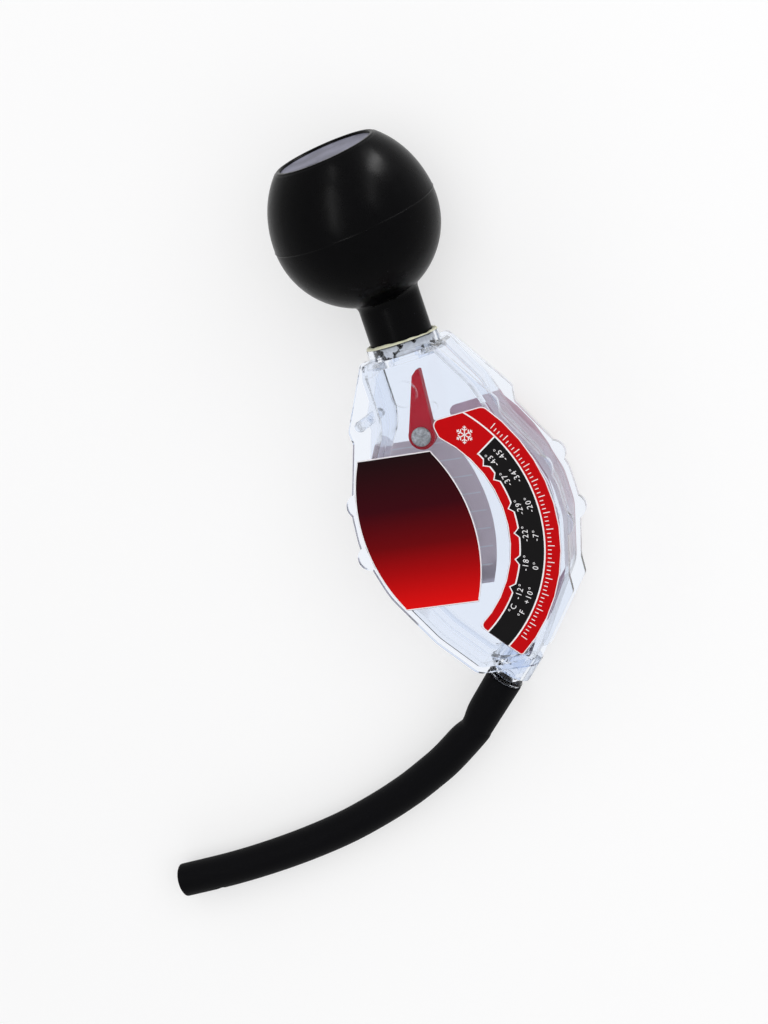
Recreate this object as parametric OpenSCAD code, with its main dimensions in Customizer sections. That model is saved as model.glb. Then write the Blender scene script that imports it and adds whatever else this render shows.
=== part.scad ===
// Antifreeze tester of the dial type, in millimetres. A rubber bulb draws coolant up a
// hose into a flat clear chamber, where a float pointer swings over a curved dial.
// It lies on its back with the dial up, +Y towards the bulb and the floor at Z = 0.
// The pieces are drawn in the chamber's own frame, where Y runs up the axis of the neck
// and Z out of the dial face, and lay() then tips them onto the bulb and the lower edge.

/* [Chamber] */
// Thickness of the chamber over the two panels
case_t = 24.5; // [22:0.5:32]
// Reach of the panels to the left of the neck axis
case_left = 32.4; // [30:0.2:40]
// Reach of the panels to the right of the neck axis, where the dial is
case_right = 36.6; // [34:0.2:46]
// Height of the panels above the middle of the chamber
case_up = 53.6; // [52:0.2:60]
// Depth of the panels below the middle of the chamber
case_down = 55.6; // [50:0.2:68]
// Thickness of the front and rear panels
panel_t = 2.2; // [1.6:0.1:3]
// Thickness of the side wall between the panels
wall_t = 1.8; // [1.4:0.1:2.4]
// How far the panels stand out past the side wall
rim = 1.6; // [1:0.1:2.2]
// Radius of the grip bumps on the edges of the panels
bump_r = 4.2; // [3.4:0.1:5.2]
// How far the grip bumps stand out of the edge
bump_out = 1.7; // [1:0.1:2.4]
// Height of the lip that centres one shell in the other
lip_h = 1.2; // [0.8:0.1:2]
// Depth of the moulded recesses that the labels lie in
label_recess = 0.3; // [0.2:0.05:0.5]
// Thickness of the labels
label_t = 0.2; // [0.1:0.05:0.3]

/* [Neck and bulb] */
// Diameter of the rubber neck
neck_d = 20.5; // [18:0.1:25]
// Bore of the rubber neck
neck_bore = 14.5; // [10:0.1:16]
// Depth of the neck in its socket
neck_in = 4; // [3:0.1:7]
// Length of the neck between the socket's mouth and the ball
neck_out = 15.4; // [8:0.1:20]
// Wall of the collar round the neck
collar_wall = 1.7; // [1.2:0.1:3]
// Height of the collar's mouth above the panels
collar_up = 2.4; // [1:0.1:5]
// Thickness of the floor that the neck stands on
collar_floor = 2.4; // [1.6:0.1:4]
// Bore of the air passage through that floor
passage_d = 14; // [8:0.1:16]
// Diameter of the ball
ball_d = 54; // [45:0.5:65]
// Height of the ball's upper half, if it had no flat end
ball_up = 31; // [28:0.1:38]
// Wall of the ball
ball_wall = 3; // [2:0.1:4]
// Lean of the ball to the left of the neck axis
ball_lean = 2.4; // [0:0.1:10]
// Lean of the ball to the front, as the chamber's weight bends the neck
ball_tip = 10; // [0:0.5:12]
// Diameter of the flat end of the ball
end_d = 33.5; // [28:0.5:40]
// Diameter of the disc in the flat end
disc_d = 30.5; // [24:0.5:32]
// Thickness of the disc
disc_t = 1.2; // [0.8:0.1:2]
// Depth of the disc below the rim
disc_sunk = 0.8; // [0:0.1:1.5]
// Diameter of the plug behind the disc
plug_d = 22; // [14:0.5:26]
// Radius of the fillet between the neck and the ball
neck_fillet = 3; // [1:0.1:5]
// Height of the mould seam round the middle of the ball
seam_h = 0.2; // [0.1:0.05:0.5]
// Width of the mould seam
seam_w = 0.5; // [0.3:0.1:1]

/* [Pointer] */
// Length of the pointer from the pivot to the tip
pointer_len = 21.8; // [16:0.1:23]
// Radius of the pointer's hub
hub_r = 4.4; // [4:0.1:5.6]
// Width of the pointer's tip
tip_w = 2.6; // [1.6:0.1:4]
// Thickness of the pointer
pointer_t = 3.2; // [2.6:0.1:8]
// Angle of the pointer to the right of the neck axis, as it lies
pointer_rest = 13; // [0:1:30]
// Diameter of the pivot pin
pin_d = 2.5; // [1.8:0.1:3.4]
// Diameter of the pin's head
head_d = 6.3; // [4.5:0.1:8]
// Thickness of the pin's head
head_t = 1.2; // [0.8:0.1:2]
// Diameter of the ballast slug in the back of the pointer
slug_d = 3.2; // [2:0.1:3.6]
// Length of the ballast slug
slug_len = 2.2; // [1.5:0.1:2.5]

/* [Hose] */
// Bore of the hose as made
hose_bore = 8; // [6:0.1:9]
// Outer diameter of the hose as made
hose_d = 12; // [10:0.1:14]
// Angle between the spigot and the neck axis
spigot_turn = 48; // [30:1:60]
// Bore of the spigot
spigot_bore = 5.4; // [4:0.1:5.8]
// Diameter of the spigot's shank, in the chamber
shank_d = 9.2; // [8.4:0.1:10]
// Diameter of the spigot where the mouth of the hose sits
seat_root = 8.4; // [8:0.1:9.2]
// Diameter of the spigot's tip
seat_tip = 7.4; // [6.8:0.1:8]
// Length of the spigot inside the hose
seat_len = 20; // [12:0.5:26]
// Diameter of the bead that the hose is pushed up to
bead_d = 12; // [11.5:0.1:14]
// Length of the bead
bead_len = 1.6; // [1:0.1:3]
// Diameter of the air hole in the side of the hose
hole_d = 3; // [2:0.1:4]
// Distance of the air hole from the tip of the hose
hole_back = 13; // [8:0.5:18]

/* [Hidden] */

$fn = 96;
// Clearance of a glued or pressed joint, on the radius
fit = 0.05;
// Clearance of a turning joint, on the radius
run = 0.05;
// Overlap that fuses two parts of one moulding
fuse = 0.4;
// Overshoot of a cutting shape
over = 1;
// Turn between two points of a rounded corner, in degrees
arc_step = 6;

half_t = case_t / 2;
inner_t = half_t - panel_t;
neck_r = neck_d / 2;
collar_r = neck_r + fit + collar_wall;
mouth_y = case_up + collar_up;
socket_y = mouth_y - neck_in;
collar_y = socket_y - collar_floor;

// Corner lists hold [x, y, radius] and run anticlockwise.
function xy(p) = [p.x, p.y];
function unit(v) = v / norm(v);
function next(c, i) = xy(c[(i + 1) % len(c)]);
function prior(c, i) = xy(c[(i + len(c) - 1) % len(c)]);
function turned(v, a) = [v.x * cos(a) - v.y * sin(a), v.x * sin(a) + v.y * cos(a)];

// The corners moved inwards by d, with the radii that keep the arcs concentric
function inset(c, d) = [
    for (i = [0 : len(c) - 1])
        let (p = xy(c[i]), u = unit(p - prior(c, i)), v = unit(next(c, i) - p))
        let (m = [-u.y, u.x], n = [-v.y, v.x])
        let (q = p + d * (m + n) / (1 + m * n), r = c[i][2])
        [q.x, q.y, r == 0 ? 0 : max(r - sign(cross(u, v)) * d, 0)]
];

// The arc that rounds corner p between the directions u and v to radius r
function corner_arc(p, u, v, r) =
    let (h = acos(u * v) / 2, c = p + unit(u + v) * r / sin(h), sweep = 180 - 2 * h)
    let (n = max(1, ceil(sweep / arc_step)), s = p + u * r / tan(h) - c)
    [for (k = [0 : n]) c + turned(s, -sign(cross(u, v)) * sweep * k / n)];

// The closed outline with every corner rounded to its own radius
function rounded(c) = [
    for (i = [0 : len(c) - 1])
        let (p = xy(c[i]), u = unit(prior(c, i) - p), v = unit(next(c, i) - p))
        each c[i][2] < 0.01 ? [p] : corner_arc(p, u, v, c[i][2])
];

// Panels: straight-sided, with a shoulder on three sides that stands past the wall.
shoulder_r = 2.5;
dip_r = 3;
shoulder_right = [26.9, 30.6];
shoulder_left = [-23.2, 33.6];
shoulder_low = [case_right - 5.7, 20.4 - case_down];
panel_corners = [
    [collar_r, case_up, 2],
    [-collar_r, case_up, 2],
    [shoulder_left.x, shoulder_left.y, shoulder_r],
    [shoulder_left.x + 0.3, shoulder_left.y - 4, dip_r],
    [1.2 - case_left, 7.5, 14],
    [-case_left, -4, 20],
    [4.4 - case_left, -21.8, 25],
    [14.4 - case_left, 15.3 - case_down, 20],
    [-7.6, 1.8 - case_down, 5],
    [12.3, -case_down, 4],
    [shoulder_low.x, shoulder_low.y, shoulder_r],
    [shoulder_low.x + 0.3, shoulder_low.y + 5.7, dip_r],
    [case_right, -11.5, 18],
    [case_right, 0, 18],
    [case_right - 2.8, 10.5, 9],
    [shoulder_right.x - 0.9, shoulder_right.y - 5, dip_r],
    [shoulder_right.x, shoulder_right.y, shoulder_r]
];
panel_outline = rounded(panel_corners);

// Side wall: follows the panels at a distance, without the shoulders. On the left it
// draws in beside the pivot, where only the pointer's hub needs room.
waist_x = -13.6;
wall_corners = [
    [collar_r + rim, case_up + 0.4, 2],
    [-collar_r - rim, case_up + 0.4, 2],
    [waist_x - rim, mouth_y - 8, 4],
    [waist_x - rim, 32.3, 12],
    [1.2 - case_left, 7.5, 9],
    [-case_left, -4, 20],
    [4.4 - case_left, -21.8, 25],
    [14.4 - case_left, 15.3 - case_down, 20],
    [-7.6, 1.8 - case_down, 5],
    [12.3, -case_down, 4],
    [shoulder_low.x + 0.3, shoulder_low.y + 4.7, 15],
    [case_right, -11.5, 18],
    [case_right, 0, 18],
    [case_right - 2.8, 10.5, 9],
    [shoulder_right.x - 0.9, shoulder_right.y - 5, 14],
    [22.4, 38, 12]
];
wall_outer = rounded(inset(wall_corners, rim));
wall_inner = rounded(inset(wall_corners, rim + wall_t));
lip_outer = rounded(inset(wall_corners, rim + wall_t / 2));
lip_fitted = rounded(inset(wall_corners, rim + wall_t / 2 + fit));
lip_gap = 0.3;

// Grip bumps: a point on the panel's edge and the direction out of it.
bump_marks = [
    [[2.2 - case_left, 10.4], 162],
    [[-case_left, -7.4], 177],
    [[case_right - 1.4, 6.3], 14],
    [[case_right - 0.4, -13.6], -12]
];
bumps = [for (m = bump_marks) m[0] + (bump_out - bump_r) * [cos(m[1]), sin(m[1])]];

// Locating post between the left shoulders
post = [shoulder_left.x + 3.9, shoulder_left.y + 0.6];
post_r = 1.8;
peg_r = 1;
peg_h = 3;

// Round grooves that the mould's pins leave inside the panels, as [x, y, radius]
front_mark = [-1.9, 40.3, 4.4];
rear_mark = [-0.3, 31.3, 2];
mark_depth = 0.3;
mark_width = 0.4;

// Badge label: two large arcs between slanted ends.
badge_turn = -7.3;
badge_top = 20.8;
badge_low = -30.2;
badge_left = 2.2 - case_left;
badge_right = 7;
badge_r = 54;
badge_left_y = -2;
badge_right_y = -4.4;

// Dial label: a ring sector with its upper end cut level and its lower one square.
dial_in = 38.7;
dial_out = 55.2;
dial_gap = 2.6;
dial_c = [case_right - dial_gap - dial_out, -4.7];
dial_top = 29.8;
dial_top_left = 3.9;
dial_high_in = 47.8;
dial_high_out = asin((dial_top - dial_c.y) / dial_out);
dial_low_in = -60.5;
dial_low_out = -57.7;
dial_step = 12;
dial_round_top = [2.4, 3];
dial_round_low = 1.2;

function polar(r, a) = r * [cos(a), sin(a)];
function dial_point(r, a, round) = let (p = dial_c + polar(r, a)) [p.x, p.y, round];

// The dial label's corners: up the outer arc, along the top and down the inner arc
dial_corners = [
    for (k = [0 : dial_step])
        let (a = dial_low_out + (dial_high_out - dial_low_out) * k / dial_step)
        dial_point(dial_out, a, k == 0 ? dial_round_low : k == dial_step ? dial_round_top[1] : 0),
    [dial_top_left, dial_top, dial_round_top[0]],
    for (k = [dial_step : -1 : 0])
        let (a = dial_low_in + (dial_high_in - dial_low_in) * k / dial_step)
        dial_point(dial_in, a, k == 0 ? dial_round_low : k == dial_step ? dial_round_top[0] : 0)
];

// Pivot: below the floor of the collar by the pointer's length and a gap
tip_gap = 3.8;
pivot = [-3.4, collar_y - tip_gap - pointer_len * cos(pointer_rest)];
hub_gap = 0.25;
boss_r = 3.4;
boss_z = pointer_t / 2 + 2 * hub_gap;
pin_foot = half_t - panel_t - 1;
slug_y = 9;

// Spigot: stations along its axis from the point where it leaves the chamber
spigot_at = [3.1, 1.1 - case_down];
spigot_boss_wall = 2.4;
spigot_boss_r = shank_d / 2 + spigot_boss_wall;
boss_in = 4.5;
boss_out = 4.5;
bead_at = 7;
seat_at = bead_at + bead_len;
tip_at = seat_at + seat_len;
spigot_dir = [-sin(spigot_turn), -cos(spigot_turn)];

// Ball: round below, drawn out above and cut off flat, leaning on top of the neck
ball_r = ball_d / 2;
end_r = end_d / 2;
disc_r = disc_d / 2;
plug_r = plug_d / 2;
neck_top = mouth_y + neck_out;
cut_low = sqrt(pow(ball_r, 2) - pow(neck_r, 2));
cut_high = ball_up * sqrt(1 - pow(end_r / ball_r, 2));
hollow_low = ball_r - ball_wall - fuse;
ball_axis = [-sin(ball_lean) * cos(ball_tip), cos(ball_lean) * cos(ball_tip), sin(ball_tip)];
ball_at = [0, neck_top, 0] + cut_low * ball_axis;
end_at = ball_at + cut_high * ball_axis;
recess_h = disc_t + disc_sunk;

// Fillet between the neck and the ball: its arc's middle beside the ball's axis, and how
// deep the arc runs into the ball
fillet_bite = 0.15;
fillet_reach = ball_r + neck_fillet - fillet_bite;
fillet_at = [neck_r + neck_fillet, -sqrt(pow(fillet_reach, 2) - pow(neck_r + neck_fillet, 2))];
// How far the foot of the fillet runs into the neck and down it
fillet_foot = [2, 4];
// Tab that the mould leaves on the disc, and its place in front of the disc's middle
tab = [4, 1, 0.3];
tab_at = [-1.7, -11];

// Lying pose: the ball and the rear panel's lower edge touch the floor.
foot_y = min([for (p = panel_outline) p.y]);
ball_rise = ball_at.y - foot_y;
ball_front = ball_at.z + half_t;
tilt = asin(ball_r / norm([ball_rise, ball_front])) - atan2(ball_front, ball_rise);
lift = half_t * cos(tilt) - foot_y * sin(tilt);
edge_left = min([for (b = bumps) b.x]) - bump_r;
edge_right = max([for (b = bumps) b.x]) + bump_r;
end_slant = ball_axis.y * cos(tilt) - ball_axis.z * sin(tilt);
edge_back = end_at.y * cos(tilt) - end_at.z * sin(tilt) + end_r * sqrt(1 - pow(end_slant, 2));
edge_front = (spigot_at.y - tip_at * cos(spigot_turn)) * cos(tilt);
tip_drop = seat_tip / 2 * sin(spigot_turn);
plan_mid = [(edge_left + edge_right) / 2, (edge_back + edge_front - tip_drop) / 2];

// A point of the chamber's frame, as it lies on the floor
function laid(p) = [
    p.x - plan_mid.x,
    p.y * cos(tilt) - p.z * sin(tilt) - plan_mid.y,
    p.y * sin(tilt) + p.z * cos(tilt) + lift
];

// Tips the chamber's frame back onto the floor
module lay() {
    translate([-plan_mid.x, -plan_mid.y, lift])
        rotate([tilt, 0, 0])
            children();
}

// Hose: straight over the spigot, then down to the floor. The free points are plan
// distances from the mouth of the hose and heights above where it lies on the floor.
function on_spigot(s) = laid([spigot_at.x + s * spigot_dir.x, spigot_at.y + s * spigot_dir.y, 0]);
hose_mouth = on_spigot(seat_at);
hose_lie = hose_d / 2 + 0.05;
hose_free = [
    [-28, -22, 3.5],
    [-36.5, -26.2, 2.5],
    [-46, -30.3, 1.5],
    [-58, -34.4, 0.6],
    [-72, -38.1, 0.15],
    [-87, -40.7, 0],
    [-102, -42.4, 0],
    [-118, -43.4, 0],
    [-137, -43.6, 0]
];
hose_seat_rings = 4;
hose_route = [
    for (k = [0 : hose_seat_rings]) on_spigot(seat_at + seat_len * k / hose_seat_rings),
    on_spigot(tip_at + 2),
    for (p = hose_free) [hose_mouth.x + p.x, hose_mouth.y + p.y, hose_lie + p.z]
];
hose_sides = 12;
hose_steps = 2;
hole_lift = 20;

// A point on the smooth curve through the route, k of n steps past point i
function at(c, i) = c[max(0, min(len(c) - 1, i))];
function spline(c, i, t) =
    let (p = at(c, i - 1), q = at(c, i), r = at(c, i + 1), s = at(c, i + 2))
    0.5 * (2 * q + (r - p) * t + (2 * p - 5 * q + 4 * r - s) * t * t
           + (3 * q - p - 3 * r + s) * t * t * t);
hose_line = [
    for (i = [0 : len(hose_route) - 2])
        for (k = [0 : hose_steps - 1])
            spline(hose_route, i, k / hose_steps),
    hose_route[len(hose_route) - 1]
];

// Bore of the hose, stretched over the spigot's taper. The wall keeps its volume.
flat_side = cos(180 / hose_sides);
function bore_r(d) = d > seat_len + over / 2 ? hose_bore / 2
    : (seat_root + (seat_tip - seat_root) * d / seat_len) / 2 / flat_side + 2 * fit;
function skin_r(d) = sqrt(pow(bore_r(d), 2) + pow(hose_d / 2, 2) - pow(hose_bore / 2, 2));

// Ring of the hose of radius r round point i of its line
function hose_ring(i, r) =
    let (p = hose_line[i], t = unit(at(hose_line, i + 1) - at(hose_line, i - 1)))
    let (side = unit(cross(t, [0, 0, 1])), up = cross(side, t))
    [for (k = [0 : hose_sides - 1])
        let (a = 360 * (k + 0.5) / hose_sides)
        p + r * (cos(a) * side + sin(a) * up)];

// Rubber

module ball_profile(grow, low, high) {
    // Half the ball's outline between two heights, with its surface moved out by grow
    steps = 24;
    r = ball_r + grow;
    h = ball_up + grow;
    from = asin(low / r);
    to = asin(high / h);
    polygon([
        [0, low],
        for (k = [0 : steps])
            let (a = from + (to - from) * k / steps)
            [r * cos(a), (a < 0 ? r : h) * sin(a)],
        [0, high]
    ]);
}

module fillet_profile() {
    // Half the outline of the fillet, from inside the neck round to the ball's surface
    steps = 6;
    to = atan2(-fillet_at.y, -fillet_at.x);
    polygon([
        [0, fillet_at.y - fillet_foot.y],
        [neck_r - fillet_foot.x, fillet_at.y - fillet_foot.y],
        for (k = [0 : steps])
            let (a = 180 + (to - 180) * k / steps)
            fillet_at + neck_fillet * [cos(a), sin(a)],
        [0, fillet_at.y * ball_r / fillet_reach]
    ]);
}

module ball_frame() {
    translate(ball_at)
        rotate([0, 0, ball_lean])
            rotate([ball_tip - 90, 0, 0])
                children();
}

module squeeze_bulb() {
    color([0.07, 0.07, 0.08])
        lay()
            difference() {
                union() {
                    ball_frame()
                        rotate_extrude()
                            ball_profile(0, -cut_low - fuse, cut_high);
                    ball_frame()
                        cylinder(r = ball_r + seam_h, h = seam_w, center = true);
                    ball_frame()
                        rotate_extrude()
                            fillet_profile();
                    translate([0, socket_y, 0])
                        rotate([-90, 0, 0])
                            cylinder(r = neck_r, h = neck_in + neck_out + ball_wall / 2);
                }
                ball_frame()
                    rotate_extrude()
                        ball_profile(-ball_wall, -hollow_low, cut_high - recess_h - ball_wall);
                ball_frame()
                    translate([0, 0, cut_high - recess_h])
                        cylinder(r = disc_r + fit, h = recess_h + over);
                ball_frame()
                    cylinder(r = plug_r + fit, h = cut_high);
                translate([0, socket_y - over, 0])
                    rotate([-90, 0, 0])
                        cylinder(d = neck_bore, h = neck_in + neck_out + 2 * ball_wall + over);
            }
}

module bulb_end_disc() {
    color([0.59, 0.59, 0.65])
        lay()
            ball_frame() {
                translate([0, 0, cut_high - recess_h])
                    cylinder(r = disc_r, h = disc_t);
                translate([tab_at.x - tab.x / 2, tab_at.y - tab.y / 2, cut_high - disc_sunk - tab.z])
                    cube([tab.x, tab.y, 2 * tab.z]);
                translate([0, 0, cut_high - recess_h - ball_wall])
                    cylinder(r = plug_r, h = ball_wall + disc_t / 2);
            }
}

module neck_seal_ring() {
    bead_r = (collar_wall - 2 * fit) / 2;
    color([0.85, 0.84, 0.73])
        lay()
            translate([0, mouth_y, 0])
                rotate([-90, 0, 0])
                    rotate_extrude()
                        translate([neck_r + 2 * fit + bead_r, 0])
                            intersection() {
                                circle(r = bead_r);
                                translate([-bead_r, 0])
                                    square([2 * bead_r, bead_r]);
                            }
}

// Clear shells

module slab(outline, z, h) {
    translate([0, 0, z])
        linear_extrude(h)
            polygon(outline);
}

module spigot_frame() {
    translate([spigot_at.x, spigot_at.y, 0])
        rotate([0, 0, -spigot_turn])
            rotate([90, 0, 0])
                children();
}

module upper_half() {
    // Keeps what lies in front of the joint between the shells
    reach = case_up + case_down;
    intersection() {
        children();
        translate([-reach, -reach, 0])
            cube(2 * reach);
    }
}

module badge_shape(grow) {
    intersection() {
        translate([badge_left + badge_r, badge_left_y])
            circle(r = badge_r + grow);
        translate([badge_right - badge_r, badge_right_y])
            circle(r = badge_r + grow);
        rotate(badge_turn)
            translate([-badge_r, badge_low - grow])
                square([2 * badge_r, badge_top - badge_low + 2 * grow]);
    }
}

module dial_shape(grow) {
    polygon(rounded(inset(dial_corners, -grow)));
}

module half_shell() {
    // What the two shells share, drawn as the front one
    difference() {
        union() {
            slab(panel_outline, inner_t, panel_t);
            for (b = bumps)
                translate([b.x, b.y, inner_t])
                    cylinder(r = bump_r, h = panel_t);
            difference() {
                slab(wall_outer, 0, inner_t + fuse);
                slab(wall_inner, -over, inner_t + over);
            }
            upper_half()
                translate([0, collar_y, 0])
                    rotate([-90, 0, 0])
                        cylinder(r = collar_r, h = mouth_y - collar_y);
            upper_half()
                spigot_frame()
                    translate([0, 0, -boss_in])
                        cylinder(r = spigot_boss_r, h = boss_in + boss_out);
            translate([post.x, post.y, 0])
                cylinder(r = post_r, h = inner_t + fuse);
        }
        translate([0, socket_y, 0])
            rotate([-90, 0, 0])
                cylinder(r = neck_r + fit, h = neck_in + over);
        translate([0, collar_y - over, 0])
            rotate([-90, 0, 0])
                cylinder(d = passage_d, h = collar_floor + 2 * over);
        spigot_frame()
            translate([0, 0, -boss_in - over])
                cylinder(d = shank_d + 2 * fit, h = boss_in + boss_out + 2 * over);
        translate([0, 0, half_t - label_recess])
            linear_extrude(label_recess + over)
                badge_shape(fit);
        translate([0, 0, half_t - label_recess])
            linear_extrude(label_recess + over)
                dial_shape(fit);
    }
}

module shell_joint(outline, h, gap) {
    // The inner half of the wall's thickness, ending short of the collar and the boss
    difference() {
        slab(outline, 0, h);
        slab(wall_inner, -over, h + 2 * over);
        translate([0, collar_y - gap, 0])
            rotate([-90, 0, 0])
                cylinder(r = collar_r + gap, h = 2 * collar_r);
        spigot_frame()
            translate([0, 0, -boss_in - gap])
                cylinder(r = spigot_boss_r + gap, h = 4 * boss_in);
    }
}

module ring_groove(mark) {
    // A round groove in the inner face of the front panel
    translate([mark.x, mark.y, inner_t - over])
        difference() {
            cylinder(r = mark[2], h = over + mark_depth);
            translate([0, 0, -over])
                cylinder(r = mark[2] - mark_width, h = mark_depth + 3 * over);
        }
}

module front_shell() {
    color([0.88, 0.91, 0.97, 0.35])
        lay()
            difference() {
                half_shell();
                ring_groove(front_mark);
                shell_joint(lip_outer, lip_h + fit, 0);
                translate([post.x, post.y, -over])
                    cylinder(r = peg_r + fit, h = peg_h + 2 * fit + over);
            }
}

module rear_shell() {
    color([0.86, 0.89, 0.96, 0.35])
        lay()
            difference() {
                union() {
                    mirror([0, 0, 1])
                        half_shell();
                    translate([0, 0, -fuse])
                        shell_joint(lip_fitted, lip_h + fuse, lip_gap);
                    translate([post.x, post.y, -fuse])
                        cylinder(r = peg_r, h = peg_h + fuse);
                    translate([pivot.x, pivot.y, -inner_t - fuse])
                        cylinder(r = boss_r, h = inner_t + fuse - boss_z);
                }
                translate([pivot.x, pivot.y, -pin_foot])
                    cylinder(d = pin_d + 2 * fit, h = pin_foot);
                mirror([0, 0, 1])
                    ring_groove(rear_mark);
            }
}

// Labels

module front_badge_label() {
    color([0.62, 0.05, 0.07])
        lay()
            translate([0, 0, half_t - label_recess])
                linear_extrude(label_t)
                    badge_shape(0);
}

module front_dial_label() {
    color([0.84, 0.02, 0.03])
        lay()
            translate([0, 0, half_t - label_recess])
                linear_extrude(label_t)
                    dial_shape(0);
}

module rear_badge_label() {
    color([0.72, 0.72, 0.76])
        lay()
            translate([0, 0, label_recess - label_t - half_t])
                linear_extrude(label_t)
                    badge_shape(0);
}

module rear_dial_label() {
    color([0.72, 0.58, 0.64])
        lay()
            translate([0, 0, label_recess - label_t - half_t])
                linear_extrude(label_t)
                    dial_shape(0);
}

// Pointer and pin

module pointer_frame() {
    translate([pivot.x, pivot.y, 0])
        rotate([0, 0, -pointer_rest])
            children();
}

module pointer() {
    // The flank leaves the hub a little above its middle; one corner of the tip is cut.
    flank = hub_r - 0.2;
    tip = tip_w / 2;
    tip_cut = 0.8 * tip_w;
    color([0.67, 0.1, 0.2])
        lay()
            pointer_frame()
                difference() {
                    translate([0, 0, -pointer_t / 2]) {
                        cylinder(r = hub_r, h = pointer_t);
                        linear_extrude(pointer_t)
                            polygon(rounded([
                                [flank, 1, 0],
                                [tip, pointer_len, 0.5],
                                [tip / 4, pointer_len, 0.5],
                                [-tip, pointer_len - tip_cut, 0.5],
                                [-flank, 1, 0]
                            ]));
                    }
                    translate([0, 0, -pointer_t])
                        cylinder(d = pin_d + 2 * run, h = 2 * pointer_t);
                    translate([0, slug_y, -pointer_t / 2 - over])
                        cylinder(d = slug_d + 2 * fit, h = slug_len + fit + over);
                }
}

module pointer_weight() {
    color([0.72, 0.6, 0.3])
        lay()
            pointer_frame()
                translate([0, slug_y, -pointer_t / 2])
                    cylinder(d = slug_d, h = slug_len);
}

module pivot_pin() {
    head_z = pointer_t / 2 + hub_gap;
    edge = head_t / 4;
    color([0.62, 0.63, 0.6])
        lay()
            translate([pivot.x, pivot.y, 0])
                rotate_extrude()
                    polygon([
                        [0, fit - pin_foot],
                        [pin_d / 2, fit - pin_foot],
                        [pin_d / 2, head_z],
                        [head_d / 2, head_z],
                        [head_d / 2, head_z + head_t - edge],
                        [head_d / 2 - edge, head_z + head_t],
                        [0, head_z + head_t]
                    ]);
}

// Hose and spigot

module hose_spigot() {
    color([0.86, 0.9, 0.95, 0.5])
        lay()
            spigot_frame()
                rotate_extrude()
                    polygon([
                        [spigot_bore / 2, -boss_in],
                        [shank_d / 2, -boss_in],
                        [shank_d / 2, bead_at],
                        [bead_d / 2 - bead_len / 4, bead_at],
                        [bead_d / 2, bead_at + bead_len / 2],
                        [bead_d / 2 - bead_len / 4, seat_at],
                        [seat_root / 2, seat_at],
                        [seat_tip / 2, tip_at],
                        [spigot_bore / 2, tip_at]
                    ]);
}

module hose_tube() {
    // The hose along its line, with its bore
    count = len(hose_line);
    mouth = hose_line[0];
    points = [
        for (i = [0 : count - 1]) each hose_ring(i, skin_r(norm(hose_line[i] - mouth))),
        for (i = [0 : count - 1]) each hose_ring(i, bore_r(norm(hose_line[i] - mouth)))
    ];
    inside = count * hose_sides;
    last = inside - hose_sides;
    polyhedron(points, [
        for (i = [0 : count - 2], k = [0 : hose_sides - 1])
            let (a = i * hose_sides + k, b = i * hose_sides + (k + 1) % hose_sides)
            let (c = a + hose_sides, d = b + hose_sides)
            each [[a, b, c], [b, d, c], [inside + a, inside + c, inside + b],
                  [inside + b, inside + c, inside + d]],
        for (k = [0 : hose_sides - 1])
            let (a = k, b = (k + 1) % hose_sides)
            each [[a, inside + a, b], [b, inside + a, inside + b],
                  [last + a, last + b, inside + last + a],
                  [last + b, inside + last + b, inside + last + a]]
    ]);
}

module suction_hose() {
    tip = hose_line[len(hose_line) - 1];
    color([0.06, 0.06, 0.07])
        difference() {
            hose_tube();
            translate([tip.x + hole_back, tip.y, tip.z])
                rotate([90 - hole_lift, 0, 0])
                    cylinder(d = hole_d, h = hose_d);
        }
}

squeeze_bulb();
bulb_end_disc();
neck_seal_ring();
front_shell();
rear_shell();
front_badge_label();
front_dial_label();
rear_badge_label();
rear_dial_label();
pointer();
pointer_weight();
pivot_pin();
hose_spigot();
suction_hose();
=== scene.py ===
# %% [markdown]
# # A dial-type antifreeze tester
# A rubber bulb draws coolant up a hose into a flat clear chamber, where a float pointer
# swings past a curved dial. The CAD model gives the solids and how they move. This script
# loads it as a fixed frame, and gives the rubber, the prints and the clear plastic their looks.

# %% Load the frame
import math

import bmesh
import bpy
import numpy as np
from mathutils import Matrix


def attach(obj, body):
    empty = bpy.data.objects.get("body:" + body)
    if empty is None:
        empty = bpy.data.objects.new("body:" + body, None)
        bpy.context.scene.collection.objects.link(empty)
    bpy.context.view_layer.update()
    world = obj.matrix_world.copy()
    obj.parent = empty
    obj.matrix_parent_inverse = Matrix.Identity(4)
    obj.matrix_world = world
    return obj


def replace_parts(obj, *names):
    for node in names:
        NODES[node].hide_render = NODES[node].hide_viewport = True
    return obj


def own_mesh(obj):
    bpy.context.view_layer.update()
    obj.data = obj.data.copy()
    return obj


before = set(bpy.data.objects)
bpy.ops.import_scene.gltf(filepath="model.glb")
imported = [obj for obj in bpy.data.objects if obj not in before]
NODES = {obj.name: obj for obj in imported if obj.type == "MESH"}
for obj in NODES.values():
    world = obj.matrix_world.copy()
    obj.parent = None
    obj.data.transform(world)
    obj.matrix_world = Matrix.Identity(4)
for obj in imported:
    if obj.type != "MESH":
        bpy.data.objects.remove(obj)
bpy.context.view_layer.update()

# %% [markdown]
# ## The chamber's own frame
# The tester lies tipped back on its bulb, so no face of it is level. Shapes are easier to
# write in the chamber's millimetres, with Y along the neck and Z out of the dial, as the CAD
# source does. One function then lays whole arrays of points on the floor.

# %% From chamber millimetres to floor metres
MM = 0.001
TILT = math.radians(3.95824)
SHIFT = np.array([-1.9256, -23.4554, 16.0476])


def turn(v):
    """A direction of the chamber in the floor's frame: a turn by the tilt about X."""
    x, y, z = np.moveaxis(np.asarray(v, float), -1, 0)
    c, s = math.cos(TILT), math.sin(TILT)
    return np.stack([x, y * c - z * s, y * s + z * c], -1)


def lay(points):
    """Chamber points in millimetres to the floor's frame in metres: the turn, then a shift."""
    return (turn(points) + SHIFT) * MM


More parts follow.
